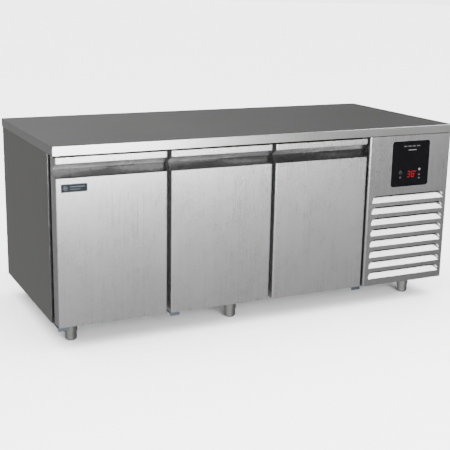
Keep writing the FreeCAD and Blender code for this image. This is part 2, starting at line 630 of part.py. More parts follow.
def make_machine_front():
    x0 = COLD_RIGHT
    t = FRONT_SHEET

    def bend(body, radius):
        front = min(v.Y for v in body.Vertexes)
        edges = [e for e in body.Edges
                 if max(v.Y for v in e.Vertexes) < front + 0.1
                 and abs(e.Vertexes[0].Z - e.Vertexes[1].Z) > 100]
        return body.makeFillet(radius, edges)

    outer = box(x0, BODY_RIGHT, FACE_Y, FACE_Y + MACHINE_RETURN, BODY_BOTTOM, MACHINE_TOP)
    inner = box(x0 + t, BODY_RIGHT - t, FACE_Y + t, FACE_Y + MACHINE_RETURN + t,
                BODY_BOTTOM - t, MACHINE_TOP + t)
    panel = bend(outer, MACHINE_BEND).cut(bend(inner, MACHINE_BEND - t))
    panel = panel.fuse(box(x0, x0 + t, FACE_Y + MACHINE_RETURN, FRAME_Y, BODY_BOTTOM, MACHINE_TOP))
    for i in range(LOUVRE_COUNT):
        slot, blade = louvre(LEFT + LOUVRE_LEFT, LOUVRE_BOTTOM + i * LOUVRE_PITCH)
        panel = panel.cut(slot).fuse(blade)

    px0 = LEFT + PANEL_LEFT
    px1 = px0 + PANEL_WIDTH
    panel_top = PANEL_BOTTOM + PANEL_HEIGHT
    rim = rounded_plate(px0 - RIM, px1 + RIM, PANEL_BOTTOM - RIM, panel_top + RIM,
                        FACE_Y - RIM_HEIGHT, FACE_Y, PANEL_RADIUS + RIM)
    hole = rounded_plate(px0, px1, PANEL_BOTTOM, panel_top,
                         FACE_Y - RIM_HEIGHT, FACE_Y + MACHINE_BEND, PANEL_RADIUS)
    save("machine_front_panel", panel.fuse(rim).cut(hole).removeSplitter())

    glass_y = FACE_Y - PANEL_PROUD
    save("control_panel", rounded_plate(px0, px1, PANEL_BOTTOM, panel_top,
                                        glass_y, glass_y + PANEL_GLASS, PANEL_RADIUS))
    mx = px0 + MODULE_LEFT
    mz = PANEL_BOTTOM + MODULE_BOTTOM
    save("display_module", box(mx, mx + MODULE_WIDTH, glass_y + PANEL_GLASS, FACE_Y + MODULE_BACK,
                               mz, mz + MODULE_HEIGHT))


def make_machine_shell():
    left = COLD_RIGHT + FRONT_SHEET
    front = FRONT + BASE_SETBACK
    back = BODY_BACK - SKIN
    t = BASE_SHEET
    flange_top = BODY_BOTTOM + BASE_FLANGE
    save("machine_base", fuse([
        box(left, MACHINE_RIGHT, front, back, BODY_BOTTOM, BODY_BOTTOM + t),
        box(left, MACHINE_RIGHT, front, front + t, BODY_BOTTOM, flange_top),
        box(left, MACHINE_RIGHT, back - t, back, BODY_BOTTOM, flange_top),
    ]))
    save("right_side_panel", box(MACHINE_RIGHT, BODY_RIGHT, FACE_Y + MACHINE_RETURN + SIDE_PANEL_GAP,
                                 BODY_BACK, BODY_BOTTOM, BODY_TOP))

    grille = box(COLD_RIGHT, MACHINE_RIGHT, back, BODY_BACK, BODY_BOTTOM, BODY_TOP)
    middle = (COLD_RIGHT + MACHINE_RIGHT) / 2
    slot_width, slot_height = GRILLE_SLOT
    for i in range(GRILLE_ROWS):
        z = GRILLE_BOTTOM + i * GRILLE_PITCH
        for start in GRILLE_SLOT_STARTS:
            x = middle + start
            grille = grille.cut(box(x, x + slot_width, back, BODY_BACK, z, z + slot_height))

    def across(y):
        return V(middle, y, GLAND_HEIGHT)

    save("rear_grille", grille.cut(rod(GLAND_RADIUS, across(back), across(BODY_BACK))))
    neck = rod(GLAND_RADIUS, across(BODY_BACK - GLAND_NECK), across(BODY_BACK))
    collar_radius, collar_thickness = GLAND_COLLAR
    collar = rod(collar_radius, across(BODY_BACK), across(BODY_BACK + collar_thickness))
    nut_radius, nut_length = GLAND_NUT
    nut_back = BODY_BACK - GLAND_NUT_GAP
    corners = []
    for i in range(7):
        angle = math.radians(60 * i)
        corners.append(V(middle + nut_radius * math.cos(angle), nut_back - nut_length,
                         GLAND_HEIGHT + nut_radius * math.sin(angle)))
    nut = Part.Face(Part.makePolygon(corners)).extrude(V(0, nut_length, 0))
    bore = rod(GLAND_BORE, across(nut_back - nut_length), across(BODY_BACK + collar_thickness))
    save("cable_gland", fuse([neck, collar, nut]).cut(bore))


def make_condensing_unit():
    x0 = CONDENSER_X
    x1 = x0 + CONDENSER_WIDTH
    z0 = CONDENSER_BOTTOM
    z1 = CONDENSER_TOP
    y = FRONT + CONDENSER_SETBACK
    save("condenser_coil", fin_block(x0, x1, y, y + CONDENSER_DEPTH, z0, z1, HOT_FIN_PITCH))

    x = (x0 + x1) / 2
    z = (z0 + z1) / 2
    ring_radius = HOT_FAN_RADIUS + HOT_FAN_GAP
    sheet_front = FRONT + SHROUD_SETBACK
    ring_back = FRONT + SHROUD_RING_BACK
    sheet = box(x0, x1, sheet_front, sheet_front + SHROUD_SHEET, z0, z1)
    ring = rod(ring_radius + SHROUD_RING, V(x, sheet_front, z), V(x, ring_back, z))
    duct = rod(ring_radius, V(x, sheet_front, z), V(x, ring_back, z))
    save("fan_shroud", fuse([sheet, ring]).cut(duct))
    make_fan("condenser_fan", (x, FRONT + HOT_FAN_SETBACK, z), HOT_FAN_RADIUS, HOT_HUB_RADIUS,
             HOT_FAN_THICKNESS, HOT_SHAFT)
    make_motor("condenser_motor", (x, ring_back, z), HOT_MOTOR_RADIUS, HOT_MOTOR_LENGTH,
               ring_radius + SHROUD_RING, HOT_SHAFT_HOLE)


def make_compressor():
    x = LEFT + COMPRESSOR_X
    y = FRONT + COMPRESSOR_Y
    foot_width, foot_depth, foot_sheet = COMPRESSOR_FOOT
    foot_bottom = BODY_BOTTOM + BASE_SHEET
    can_bottom = foot_bottom + foot_sheet
    can_top = can_bottom + COMPRESSOR_HEIGHT
    foot = box(x - foot_width / 2, x + foot_width / 2, y - foot_depth / 2, y + foot_depth / 2,
               foot_bottom, can_bottom)

    def domed(radius, bottom, top, dome):
        can = rod(radius, V(x, y, bottom), V(x, y, top))
        rim = [e for e in can.Edges if e.Closed and e.Vertexes[0].Z > top - 1.0]
        return can.makeFillet(dome, rim)

    t = COMPRESSOR_SHELL
    can = domed(COMPRESSOR_RADIUS, can_bottom, can_top, COMPRESSOR_DOME)
    hollow = domed(COMPRESSOR_RADIUS - t, can_bottom + t, can_top - t, COMPRESSOR_DOME_INSIDE)
    save("compressor", fuse([foot, can]).cut(hollow))


def make_electrical_box():
    x = LEFT + ELECTRICAL_BOX_PLACE[0]
    y = FRONT + ELECTRICAL_BOX_PLACE[1]
    z = BODY_BOTTOM + BASE_SHEET
    width, depth, height = ELECTRICAL_BOX_SIZE
    t = ELECTRICAL_BOX_WALL
    case = box(x, x + width, y, y + depth, z, z + height)
    room = box(x + t, x + width - t, y + t, y + depth - t, z + t, z + height - t)
    save("electrical_box", case.cut(room))


# ---------------------------------------------------------------- legs
def leg_places():
    rows = (FRONT + LEG_SETBACK, BACK - REAR_LEG_SETBACK)
    return [(LEFT + x, y) for y in rows for x in LEG_X]


def make_legs():
    legs = []
    plate_bottom = BODY_BOTTOM - LEG_PLATE_THICKNESS
    for i, (x, y) in enumerate(leg_places()):
        half = LEG_PLATE / 2
        plate = box(x - half, x + half, y - half, y + half, plate_bottom, BODY_BOTTOM)
        tube = rod(LEG_RADIUS, V(x, y, LEG_BOTTOM), V(x, y, plate_bottom))
        bore = rod(STEM_RADIUS + PIN_CLEARANCE, V(x, y, LEG_BOTTOM), V(x, y, STEM_BORE_TOP))
        legs.append(fuse([plate, tube]).cut(bore))

        pad = rod(FOOT_RADIUS, V(x, y, 0), V(x, y, LEG_BOTTOM - FOOT_GAP))
        lower = [e for e in pad.Edges if e.Closed and e.Vertexes[0].Z < 1]
        pad = pad.makeChamfer(FOOT_CHAMFER, lower)
        stem = rod(STEM_RADIUS, V(x, y, LEG_BOTTOM - FOOT_GAP), V(x, y, STEM_TOP))
        save("foot_%d" % (i + 1), fuse([pad, stem]))
    save("legs", legs)


os.makedirs("parts", exist_ok=True)
make_worktop()
make_cabinet()
make_front_frame()
for door in range(DOOR_COUNT):
    make_door(door)
    make_hinges(door)
    make_shelf(door)
make_badge()
make_shelf_supports()
make_evaporator()
make_machine_front()
make_machine_shell()
make_condensing_unit()
make_compressor()
make_electrical_box()
make_legs()
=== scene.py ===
import math

import bmesh
import bpy
from mathutils import Matrix, Vector


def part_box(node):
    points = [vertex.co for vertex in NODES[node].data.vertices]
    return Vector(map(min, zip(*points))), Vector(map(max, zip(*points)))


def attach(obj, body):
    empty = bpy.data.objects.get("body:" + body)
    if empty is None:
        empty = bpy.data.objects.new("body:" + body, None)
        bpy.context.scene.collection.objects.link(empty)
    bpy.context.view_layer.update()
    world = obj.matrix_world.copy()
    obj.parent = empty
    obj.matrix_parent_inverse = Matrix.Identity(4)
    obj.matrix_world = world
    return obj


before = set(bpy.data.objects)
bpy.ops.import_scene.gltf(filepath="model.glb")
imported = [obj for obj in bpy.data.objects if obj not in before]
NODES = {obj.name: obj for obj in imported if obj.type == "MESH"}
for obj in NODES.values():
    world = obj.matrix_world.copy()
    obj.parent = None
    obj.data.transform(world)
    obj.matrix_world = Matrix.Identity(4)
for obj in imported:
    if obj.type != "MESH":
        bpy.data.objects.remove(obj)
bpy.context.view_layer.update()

# Looks for the refrigerated preparation counter. Metres, in the CAD frame: +X right, +Y back,
# +Z up, origin on the floor under the middle of the worktop.

CABINET = "cabinet"
DOORS = (1, 2, 3)
FEET = (1, 2, 3, 4, 5, 6)


# ---------------------------------------------------------------- node-tree helpers
def even(cells):
    """The same number of noise cells per metre along X, Y and Z."""
    return (cells, cells, cells)


def shade(colour, factor):
    return tuple(min(1.0, c * factor) for c in colour)


def colour_sockets(sockets):
    """A mix node has sockets of every data type under the same names: these are its colours."""
    return [socket for socket in sockets if socket.type == "RGBA"]


class Tree:
    """A new material and short calls for the few node kinds used here."""

    def __init__(self, name, colour, metallic=0.0, roughness=0.5):
        self.material = bpy.data.materials.new(name)
        self.material.use_nodes = True
        self.tree = self.material.node_tree
        self.shader = self.tree.nodes["Principled BSDF"]
        self.set("Base Color", (*colour, 1.0))
        self.set("Metallic", metallic)
        self.set("Roughness", roughness)
        self.place = self.add("ShaderNodeTexCoord").outputs["Object"]

    def add(self, kind):
        return self.tree.nodes.new(kind)

    def link(self, source, target):
        self.tree.links.new(source, target)

    def set(self, name, value):
        self.shader.inputs[name].default_value = value

    def drive(self, name, value):
        """Link a value to one of the shader's inputs."""
        self.link(value, self.shader.inputs[name])

    def noise(self, cells, detail=2.0, rough=0.5):
        """Noise with so many cells per metre along X, Y and Z."""
        mapping = self.add("ShaderNodeMapping")
        mapping.inputs["Scale"].default_value = cells
        self.link(self.place, mapping.inputs["Vector"])
        node = self.add("ShaderNodeTexNoise")
        node.inputs["Scale"].default_value = 1.0
        node.inputs["Detail"].default_value = detail
        node.inputs["Roughness"].default_value = rough
        self.link(mapping.outputs["Vector"], node.inputs["Vector"])
        return node.outputs["Fac"]

    def remap(self, value, low, high, from_low=0.25, from_high=0.75):
        node = self.add("ShaderNodeMapRange")
        node.inputs["From Min"].default_value = from_low
        node.inputs["From Max"].default_value = from_high
        node.inputs["To Min"].default_value = low
        node.inputs["To Max"].default_value = high
        self.link(value, node.inputs["Value"])
        return node.outputs["Result"]

    def math(self, kind, a, b):
        node = self.add("ShaderNodeMath")
        node.operation = kind
        for socket, value in zip(node.inputs, (a, b)):
            if isinstance(value, (int, float)):
                socket.default_value = value
            else:
                self.link(value, socket)
        return node.outputs["Value"]

    def tint(self, factor, low, high):
        """Base colour between low and high by factor."""
        ramp = self.add("ShaderNodeValToRGB")
        ramp.color_ramp.elements[0].color = (*low, 1.0)
        ramp.color_ramp.elements[1].color = (*high, 1.0)
        self.link(factor, ramp.inputs["Fac"])
        self.drive("Base Color", ramp.outputs["Color"])

    def paint_upward_shade(self, colour):
        """Painted shade: blend the base colour to a given darker one where the surface faces upwards."""
        coordinates = self.add("ShaderNodeTexCoord")
        split = self.add("ShaderNodeSeparateXYZ")
        self.link(coordinates.outputs["Normal"], split.inputs["Vector"])
        upwards = self.remap(split.outputs["Z"], 0.0, 1.0, from_low=0.2, from_high=0.7)
        blend = self.add("ShaderNodeMix")
        blend.data_type = "RGBA"
        unshaded_colour, painted_shade_colour = colour_sockets(blend.inputs)
        self.link(upwards, blend.inputs["Factor"])
        self.link(self.shader.inputs["Base Color"].links[0].from_socket, unshaded_colour)
        painted_shade_colour.default_value = (*colour, 1.0)
        self.drive("Base Color", colour_sockets(blend.outputs)[0])

    def bump(self, height, distance, strength):
        node = self.add("ShaderNodeBump")
        node.inputs["Strength"].default_value = strength
        node.inputs["Distance"].default_value = distance
        self.link(height, node.inputs["Height"])
        self.drive("Normal", node.outputs["Normal"])


# ---------------------------------------------------------------- materials
GRAIN_ALONG = 3.0        # noise cells per metre along the brushing
GRAIN_ACROSS = 900.0     # and across it
BAND_ALONG = 0.75        # the same for the broad soft bands in the finish
BAND_ACROSS = 45.0
CLOUD_CELLS = 2.2        # slow changes over the whole sheet
SPECK_CELLS = 26.0       # scuffs
FINE_SHARE = 0.45        # how much each of them adds to the tone
BAND_SHARE = 0.35
CLOUD_SHARE = 0.20
STEEL_CONTRAST = 0.035   # how far the tone swings either way
STEEL_SMUDGE = 0.016     # how far smudges change the roughness
STEEL_GRAIN = 0.02       # and how far the grain does
BRUSHED_ANISOTROPY = 0.55


def along_axis(axis, along, across):
    """Noise cells per metre for a grain that runs along one axis."""
    return tuple(along if letter == axis else across for letter in "XYZ")


def brushed_steel(name, colour, roughness, axis, upward_shade=1.0):
    """Stainless sheet brushed along one axis: fine grain, broad bands, faint smudges, wear.

    Its last argument darkens faces that look upwards as painted shade, such as the lower slope of the
    handle groove."""
    t = Tree(name, colour, metallic=1.0, roughness=roughness)
    t.set("Anisotropic", BRUSHED_ANISOTROPY)
    tangent = t.add("ShaderNodeTangent")
    tangent.direction_type = "RADIAL"
    tangent.axis = axis
    t.drive("Tangent", tangent.outputs["Tangent"])
    fine = t.noise(along_axis(axis, GRAIN_ALONG, GRAIN_ACROSS), detail=3.0, rough=0.7)
    band = t.noise(along_axis(axis, BAND_ALONG, BAND_ACROSS))
    cloud = t.noise(even(CLOUD_CELLS), detail=4.0, rough=0.6)
    speck = t.noise(even(SPECK_CELLS), detail=5.0, rough=0.65)
    tone = t.math("ADD", t.math("MULTIPLY", fine, FINE_SHARE), t.math("MULTIPLY", band, BAND_SHARE))
    tone = t.math("ADD", tone, t.math("MULTIPLY", cloud, CLOUD_SHARE))
    swing = t.remap(tone, 0.0, 1.0, from_low=0.35, from_high=0.65)
    t.tint(swing, shade(colour, 1.0 - STEEL_CONTRAST), shade(colour, 1.0 + STEEL_CONTRAST))
    # painted shade on the faces that look upwards
    if upward_shade < 1.0:
        t.paint_upward_shade(shade(colour, upward_shade))
    worn = t.remap(cloud, -STEEL_SMUDGE, STEEL_SMUDGE)
    scuffed = t.remap(speck, -0.4 * STEEL_SMUDGE, 0.8 * STEEL_SMUDGE, from_low=0.35, from_high=0.75)
    grain = t.remap(fine, -STEEL_GRAIN, STEEL_GRAIN)
    t.drive("Roughness", t.math("ADD", t.math("ADD", worn, scuffed), t.math("ADD", grain, roughness)))
    t.bump(fine, distance=0.00002, strength=0.15)
    return t.material


def plastic(name, colour, roughness, grain=220.0, specular=0.5):
    """Moulded plastic with a fine spark-eroded grain and slight unevenness of colour."""
    t = Tree(name, colour, roughness=roughness)
    t.set("Specular IOR Level", specular)
    fine = t.noise(even(grain), detail=4.0)
    cloud = t.noise(even(9.0), detail=3.0)
    t.tint(t.remap(cloud, 0.0, 1.0), shade(colour, 0.94), shade(colour, 1.06))
    t.drive("Roughness", t.remap(fine, roughness - 0.06, roughness + 0.06))
    t.bump(fine, distance=0.00008, strength=0.5)
    return t.material


def painted(name, colour, roughness, metallic=0.0):
    """Enamel or plated metal with a little orange peel and worn patches."""
    t = Tree(name, colour, metallic=metallic, roughness=roughness)
    peel = t.noise(even(120.0))
    wear = t.noise(even(18.0), detail=6.0, rough=0.7)
    patches = t.remap(wear, 0.0, 1.0, from_low=0.3, from_high=0.7)
    t.tint(patches, shade(colour, 0.88), shade(colour, 1.14))
    t.drive("Roughness", t.remap(wear, roughness + 0.08, roughness - 0.05))
    t.bump(peel, distance=0.00005, strength=0.4)
    return t.material


def galvanised(name, colour, roughness):
    """Zinc-coated sheet, dulled by its oxide: spangle cells that differ in tone and gloss."""
    t = Tree(name, colour, metallic=0.6, roughness=roughness)
    cells = t.add("ShaderNodeTexVoronoi")
    cells.inputs["Scale"].default_value = 70.0
    t.link(t.place, cells.inputs["Vector"])
    grey = t.add("ShaderNodeSeparateColor")
    t.link(cells.outputs["Color"], grey.inputs["Color"])
    spangle = grey.outputs["Red"]
    tone = t.remap(spangle, 0.0, 1.0, from_low=0.0, from_high=1.0)
    gloss = t.remap(spangle, roughness - 0.07, roughness + 0.09, from_low=0.0, from_high=1.0)
    t.tint(tone, shade(colour, 0.90), shade(colour, 1.08))
    t.drive("Roughness", gloss)
    t.bump(t.noise(even(60.0)), distance=0.00006, strength=0.3)
    return t.material


def foam(name, colour):
    """Cut polyurethane foam: fine open cells and yellowing."""
    t = Tree(name, colour, roughness=0.9)
    cells = t.noise(even(500.0))
    cloud = t.noise(even(12.0), detail=3.0)
    t.tint(t.remap(cloud, 0.0, 1.0), shade(colour, 0.85), shade(colour, 1.08))
    t.bump(cells, distance=0.0004, strength=0.7)
    return t.material


def board(name, colour):
    """Edge of a wood-chip core board."""
    t = Tree(name, colour, roughness=0.8)
    chips = t.noise((60.0, 180.0, 300.0), detail=5.0, rough=0.7)
    tone = t.remap(chips, 0.0, 1.0, from_low=0.3, from_high=0.7)
    t.tint(tone, shade(colour, 0.7), shade(colour, 1.25))
    t.bump(chips, distance=0.0003, strength=0.6)
    return t.material


def rubber(name, colour):
    """Soft door seal: matt, a little dusty."""
    t = Tree(name, colour, roughness=0.75)
    dust = t.noise(even(14.0), detail=5.0)
    t.tint(t.remap(dust, 0.0, 1.0, from_low=0.35, from_high=0.75), colour, shade(colour, 1.5))
    t.bump(t.noise(even(260.0)), distance=0.0001, strength=0.4)
    return t.material


def gloss_black(name, colour, roughness):
    """Black overlay glass with faint fingerprints in its gloss."""
    t = Tree(name, colour, roughness=roughness)
    prints = t.noise(even(30.0), detail=6.0, rough=0.7)
    t.drive("Roughness", t.remap(prints, roughness, roughness + 0.12, from_low=0.45, from_high=0.75))
    t.tint(t.remap(prints, 0.0, 1.0), shade(colour, 0.8), shade(colour, 1.3))
    t.set("Specular IOR Level", 0.03)
    return t.material


def glowing(name, colour, strength):
    """A lit mark behind the overlay, its glow slightly uneven."""
    t = Tree(name, shade(colour, 0.05), roughness=0.4)
    t.set("Specular IOR Level", 0.05)
    t.set("Emission Color", (*colour, 1.0))
    level = t.noise(even(300.0), detail=1.0)
    t.drive("Emission Strength", t.remap(level, strength * 0.8, strength * 1.2))
    return t.material


WORKTOP_STEEL = brushed_steel("worktop_brushed", (0.54, 0.54, 0.535), 0.30, "X")
SIDE_STEEL = brushed_steel("side_brushed", (0.36, 0.358, 0.345), 0.32, "Z")
# the door skin's faces that look upwards, such as the handle groove's lower slope, get painted shade
DOOR_STEEL = brushed_steel("door_brushed", (0.63, 0.63, 0.63), 0.28, "Z", upward_shade=0.18)
FRONT_STEEL = brushed_steel("machine_front_brushed", (0.40, 0.40, 0.40), 0.28, "Z")
LINER_STEEL = brushed_steel("liner_brushed", (0.62, 0.63, 0.64), 0.32, "X")
# painted shade: the door's inner stainless panel is darker than the same steel elsewhere, so its edge in
# the gaps reads as a dark line
DOOR_LINER_SHADED_STEEL = brushed_steel("door_liner_brushed_painted_shade", (0.40, 0.40, 0.405), 0.34, "Z")
# painted shade: the front frame's stainless is made nearly black to stand for the shade in the gaps
# between the doors
FRAME_SHADED_STEEL = brushed_steel("frame_brushed_painted_shade", (0.10, 0.10, 0.105), 0.34, "X")
LEG_STEEL = brushed_steel("leg_brushed", (0.46, 0.46, 0.45), 0.20, "Z")
ZINC = galvanised("galvanised_sheet", (0.34, 0.35, 0.36), 0.40)
HINGE_STEEL = painted("zinc_blue_steel", (0.13, 0.14, 0.17), 0.34, metallic=1.0)
SHELF_WIRE = painted("coated_wire", (0.72, 0.73, 0.74), 0.35)
FOAM = foam("insulation_foam", (0.80, 0.70, 0.45))
BOARD = board("core_board", (0.50, 0.36, 0.22))
WHITE_PLASTIC = plastic("cover_plastic", (0.76, 0.77, 0.78), 0.42)
BLACK_PLASTIC = plastic("black_moulding", (0.035, 0.035, 0.038), 0.45)
BUSH_PLASTIC = plastic("hinge_bush_nylon", (0.10, 0.10, 0.105), 0.35)
BADGE_SLATE = plastic("badge_slate", (0.006, 0.008, 0.010), 0.42, grain=60.0, specular=0.04)
BADGE_PRINT = plastic("badge_print", (0.070, 0.078, 0.085), 0.45, specular=0.04)
BOARD_GREEN = plastic("circuit_board", (0.03, 0.10, 0.05), 0.45)
GASKET = rubber("door_seal", (0.055, 0.055, 0.058))
ENAMEL = painted("black_enamel", (0.022, 0.022, 0.024), 0.30)
ALUMINIUM = painted("fin_aluminium", (0.50, 0.51, 0.52), 0.40, metallic=1.0)
# painted shade: the condenser's aluminium fins are made nearly black so the gaps in the louvres read as
# dark shade
CONDENSER_FINS_PAINTED_SHADE = painted("condenser_fins_painted_shade", (0.06, 0.06, 0.065), 0.45, metallic=1.0)
GLASS_BLACK = gloss_black("control_overlay", (0.0020, 0.0020, 0.0024), 0.12)
LED_RED = glowing("led_red", (1.0, 0.03, 0.03), 0.55)
ICON_GREY = glowing("icon_grey", (0.55, 0.56, 0.58), 0.10)
ICON_WHITE = glowing("icon_white", (0.9, 0.9, 0.92), 0.22)


# ---------------------------------------------------------------- CAD nodes
DRESS = {
    "worktop": WORKTOP_STEEL, "worktop_core": BOARD, "left_side_panel": SIDE_STEEL,
    "right_side_panel": SIDE_STEEL, "back_panel": ZINC, "base_and_partition_panel": ZINC,
    "inner_liner": LINER_STEEL, "cabinet_insulation": FOAM, "front_frame": FRAME_SHADED_STEEL,
    "mullion_1": LINER_STEEL, "mullion_2": LINER_STEEL, "shelf_supports": LINER_STEEL,
    "evaporator_cover": WHITE_PLASTIC, "evaporator_coil": ALUMINIUM,
    "evaporator_fan": BLACK_PLASTIC, "evaporator_motor": ENAMEL,
    "machine_front_panel": FRONT_STEEL, "control_panel": GLASS_BLACK,
    "display_module": BOARD_GREEN, "machine_base": ZINC, "rear_grille": ZINC,
    "cable_gland": BLACK_PLASTIC, "condenser_coil": CONDENSER_FINS_PAINTED_SHADE, "fan_shroud": ENAMEL,
    "condenser_fan": BLACK_PLASTIC, "condenser_motor": ENAMEL, "compressor": ENAMEL,
    "electrical_box": BLACK_PLASTIC, "legs": LEG_STEEL, "door_1_badge": BADGE_SLATE,
}
for number in FEET:
    DRESS["foot_%d" % number] = LEG_STEEL
for number in DOORS:
    DRESS["door_%d_skin" % number] = DOOR_STEEL
    DRESS["door_%d_foam" % number] = FOAM
    DRESS["door_%d_inner_panel" % number] = DOOR_LINER_SHADED_STEEL
    DRESS["door_%d_gasket" % number] = GASKET
    DRESS["door_%d_bushes" % number] = BUSH_PLASTIC
    DRESS["top_hinge_%d" % number] = HINGE_STEEL
    DRESS["bottom_hinge_%d" % number] = HINGE_STEEL
    DRESS["shelf_%d" % number] = SHELF_WIRE

for node, material in DRESS.items():
    mesh = NODES[node].data
    mesh.materials.clear()
    mesh.materials.append(material)


# ---------------------------------------------------------------- mesh helpers
SMOOTH_ANGLE = math.radians(35.0)     # edges sharper than this stay sharp
LATHE_STEPS = 12
RING_STEPS = 20


def new_piece(name, bm, material, body):
    mesh = bpy.data.meshes.new(name)
    bmesh.ops.recalc_face_normals(bm, faces=bm.faces)
    bm.to_mesh(mesh)
    bm.free()
    for polygon in mesh.polygons:
        polygon.use_smooth = True
    mesh.set_sharp_from_angle(angle=SMOOTH_ANGLE)
    mesh.materials.append(material)
    piece = bpy.data.objects.new(name, mesh)
    bpy.context.scene.collection.objects.link(piece)
    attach(piece, body)


def add_prism(bm, outline, depth):
    """A prism along Y from an outline of (x, z) points; depth is its front and back y."""
    y_front, y_back = depth
    front = [bm.verts.new((x, y_front, z)) for x, z in outline]
    back = [bm.verts.new((x, y_back, z)) for x, z in outline]
    bm.faces.new(front)
    bm.faces.new(list(reversed(back)))
    count = len(outline)
    for i in range(count):
        j = (i + 1) % count
        bm.faces.new((front[j], front[i], back[i], back[j]))


def add_plate(bm, left, bottom, right, top, depth):
    """A flat rectangle that faces the front."""
    y_front, y_back = depth
    low = Vector((left, y_front, bottom))
    high = Vector((right, y_back, top))
    place = Matrix.Translation((low + high) / 2) @ Matrix.Diagonal((*(high - low), 1.0))
    bmesh.ops.create_cube(bm, size=1.0, matrix=place)


def add_bar(bm, start, heading, length, width, depth):
    """A flat straight bar from one (x, z) point along a unit heading."""
    end = start + heading * length
    across = Vector((-heading.y, heading.x)) * width / 2
    add_prism(bm, [start - across, end - across, end + across, start + across], depth)


def add_lathe(bm, centre, direction, profile):
    """A turned piece: profile is (radius, distance along direction) points."""
    direction = Vector(direction)
    side = direction.orthogonal().normalized()
    other = direction.cross(side)
    circles = []
    for radius, along in profile:
        circle = []
        for k in range(LATHE_STEPS):
            angle = 2 * math.pi * k / LATHE_STEPS
            offset = (side * math.cos(angle) + other * math.sin(angle)) * radius
            circle.append(bm.verts.new(Vector(centre) + direction * along + offset))
        circles.append(circle)
    for near, far in zip(circles, circles[1:]):
        for k in range(LATHE_STEPS):
            j = (k + 1) % LATHE_STEPS
            bm.faces.new((near[k], near[j], far[j], far[k]))
    bm.faces.new(list(reversed(circles[0])))
    bm.faces.new(circles[-1])


# ---------------------------------------------------------------- flat signs
SEGMENTS = {"a": (0, 1, "level"), "g": (0, 0, "level"), "d": (0, -1, "level"),
            "f": (-1, 0.5, "upright"), "b": (1, 0.5, "upright"),
            "e": (-1, -0.5, "upright"), "c": (1, -0.5, "upright")}
DIGITS = {"3": "abcdg", "8": "abcdefg"}
DIGIT_WIDTH = 0.013
DIGIT_HEIGHT = 0.025
DIGIT_STROKE = 0.17 * DIGIT_WIDTH
DIGIT_SLANT = 0.09
TWIG_START = 0.55         # along a snowflake's arm, as a share of its radius
TWIG_LENGTH = 0.35        # the same
TWIG_TURN = 50            # degrees between an arm and its twigs


def heading_of(degrees):
    angle = math.radians(degrees)
    return Vector((math.cos(angle), math.sin(angle)))


def snowflake(bm, centre, radius, width, depth):
    """Six arms, each with one pair of side twigs."""
    for degrees in range(0, 360, 60):
        arm = heading_of(degrees)
        add_bar(bm, centre, arm, radius, width, depth)
        fork = centre + arm * radius * TWIG_START
        for turn in (-TWIG_TURN, TWIG_TURN):
            add_bar(bm, fork, heading_of(degrees + turn), radius * TWIG_LENGTH, width, depth)


def digit(bm, character, centre, depth):
    """A seven-segment digit."""
    r = DIGIT_STROKE / 2
    for name in DIGITS[character]:
        side, level, kind = SEGMENTS[name]
        length = DIGIT_WIDTH if kind == "level" else DIGIT_HEIGHT / 2
        half = (length - r) / 2
        outline = [(-half, 0), (-half + r, -r), (half - r, -r), (half, 0), (half - r, r), (-half + r, r)]
        if kind == "upright":
            outline = [(-z, x) for x, z in outline]
        across = side * DIGIT_WIDTH / 2
        up = level * DIGIT_HEIGHT / 2
        points = [(across + x + DIGIT_SLANT * (up + z), up + z) for x, z in outline]
        add_prism(bm, [(centre.x + x, centre.y + z) for x, z in points], depth)


def ring(bm, centre, radius, width, depth, start=0.0, end=360.0):
    """A flat ring or arc, as short straight pieces that meet."""
    inner, outer = radius - width / 2, radius + width / 2
    count = int(RING_STEPS * (end - start) / 360.0)
    for k in range(count):
        near = heading_of(start + (end - start) * k / count)
        far = heading_of(start + (end - start) * (k + 1) / count)
        corners = (near * inner, near * outer, far * outer, far * inner)
        add_prism(bm, [centre + corner for corner in corners], depth)


def arrow(bm, centre, size, way, depth):
    """A triangle that points up where way is 1 and down where it is -1."""
    outline = [(-0.8, -0.4 * way), (0.0, 0.6 * way), (0.8, -0.4 * way)]
    add_prism(bm, [(centre.x + size * x, centre.y + size * z) for x, z in outline], depth)


# ---------------------------------------------------------------- badge on the first door
PRINT_SUNK = 0.0001          # how far prints and lit signs reach into what carries them
BADGE_PRINT_PROUD = 0.0003   # and how far they stand out
BADGE_SNOWFLAKE = 0.010      # radius
BADGE_MARGIN = 0.016         # badge's left edge to the snowflake's middle
BADGE_TEXT = 0.034           # and to the lines that stand for lettering
# each line's bottom and top from the badge's middle, and its gap to the badge's right edge
BADGE_LINES = ((0.0035, 0.0060, 0.010), (-0.0055, -0.0038, 0.026))
BORDER_INSET = 0.0016
BORDER_WIDTH = 0.0007


def make_badge_print():
    low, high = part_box("door_1_badge")
    depth = (low.y - BADGE_PRINT_PROUD, low.y + PRINT_SUNK)
    middle = (low.z + high.z) / 2
    bm = bmesh.new()
    centre = Vector((low.x + BADGE_MARGIN, middle))
    snowflake(bm, centre, radius=BADGE_SNOWFLAKE, width=0.0012, depth=depth)
    for bottom, top, gap in BADGE_LINES:
        add_plate(bm, low.x + BADGE_TEXT, middle + bottom, high.x - gap, middle + top, depth)
    x0, x1 = low.x + BORDER_INSET, high.x - BORDER_INSET
    z0, z1 = low.z + BORDER_INSET, high.z - BORDER_INSET
    add_plate(bm, x0, z0, x1, z0 + BORDER_WIDTH, depth)
    add_plate(bm, x0, z1 - BORDER_WIDTH, x1, z1, depth)
    for left in (x0, x1 - BORDER_WIDTH):
        add_plate(bm, left, z0 + BORDER_WIDTH, left + BORDER_WIDTH, z1 - BORDER_WIDTH, depth)
    new_piece("badge_print", bm, BADGE_PRINT, "door_1")


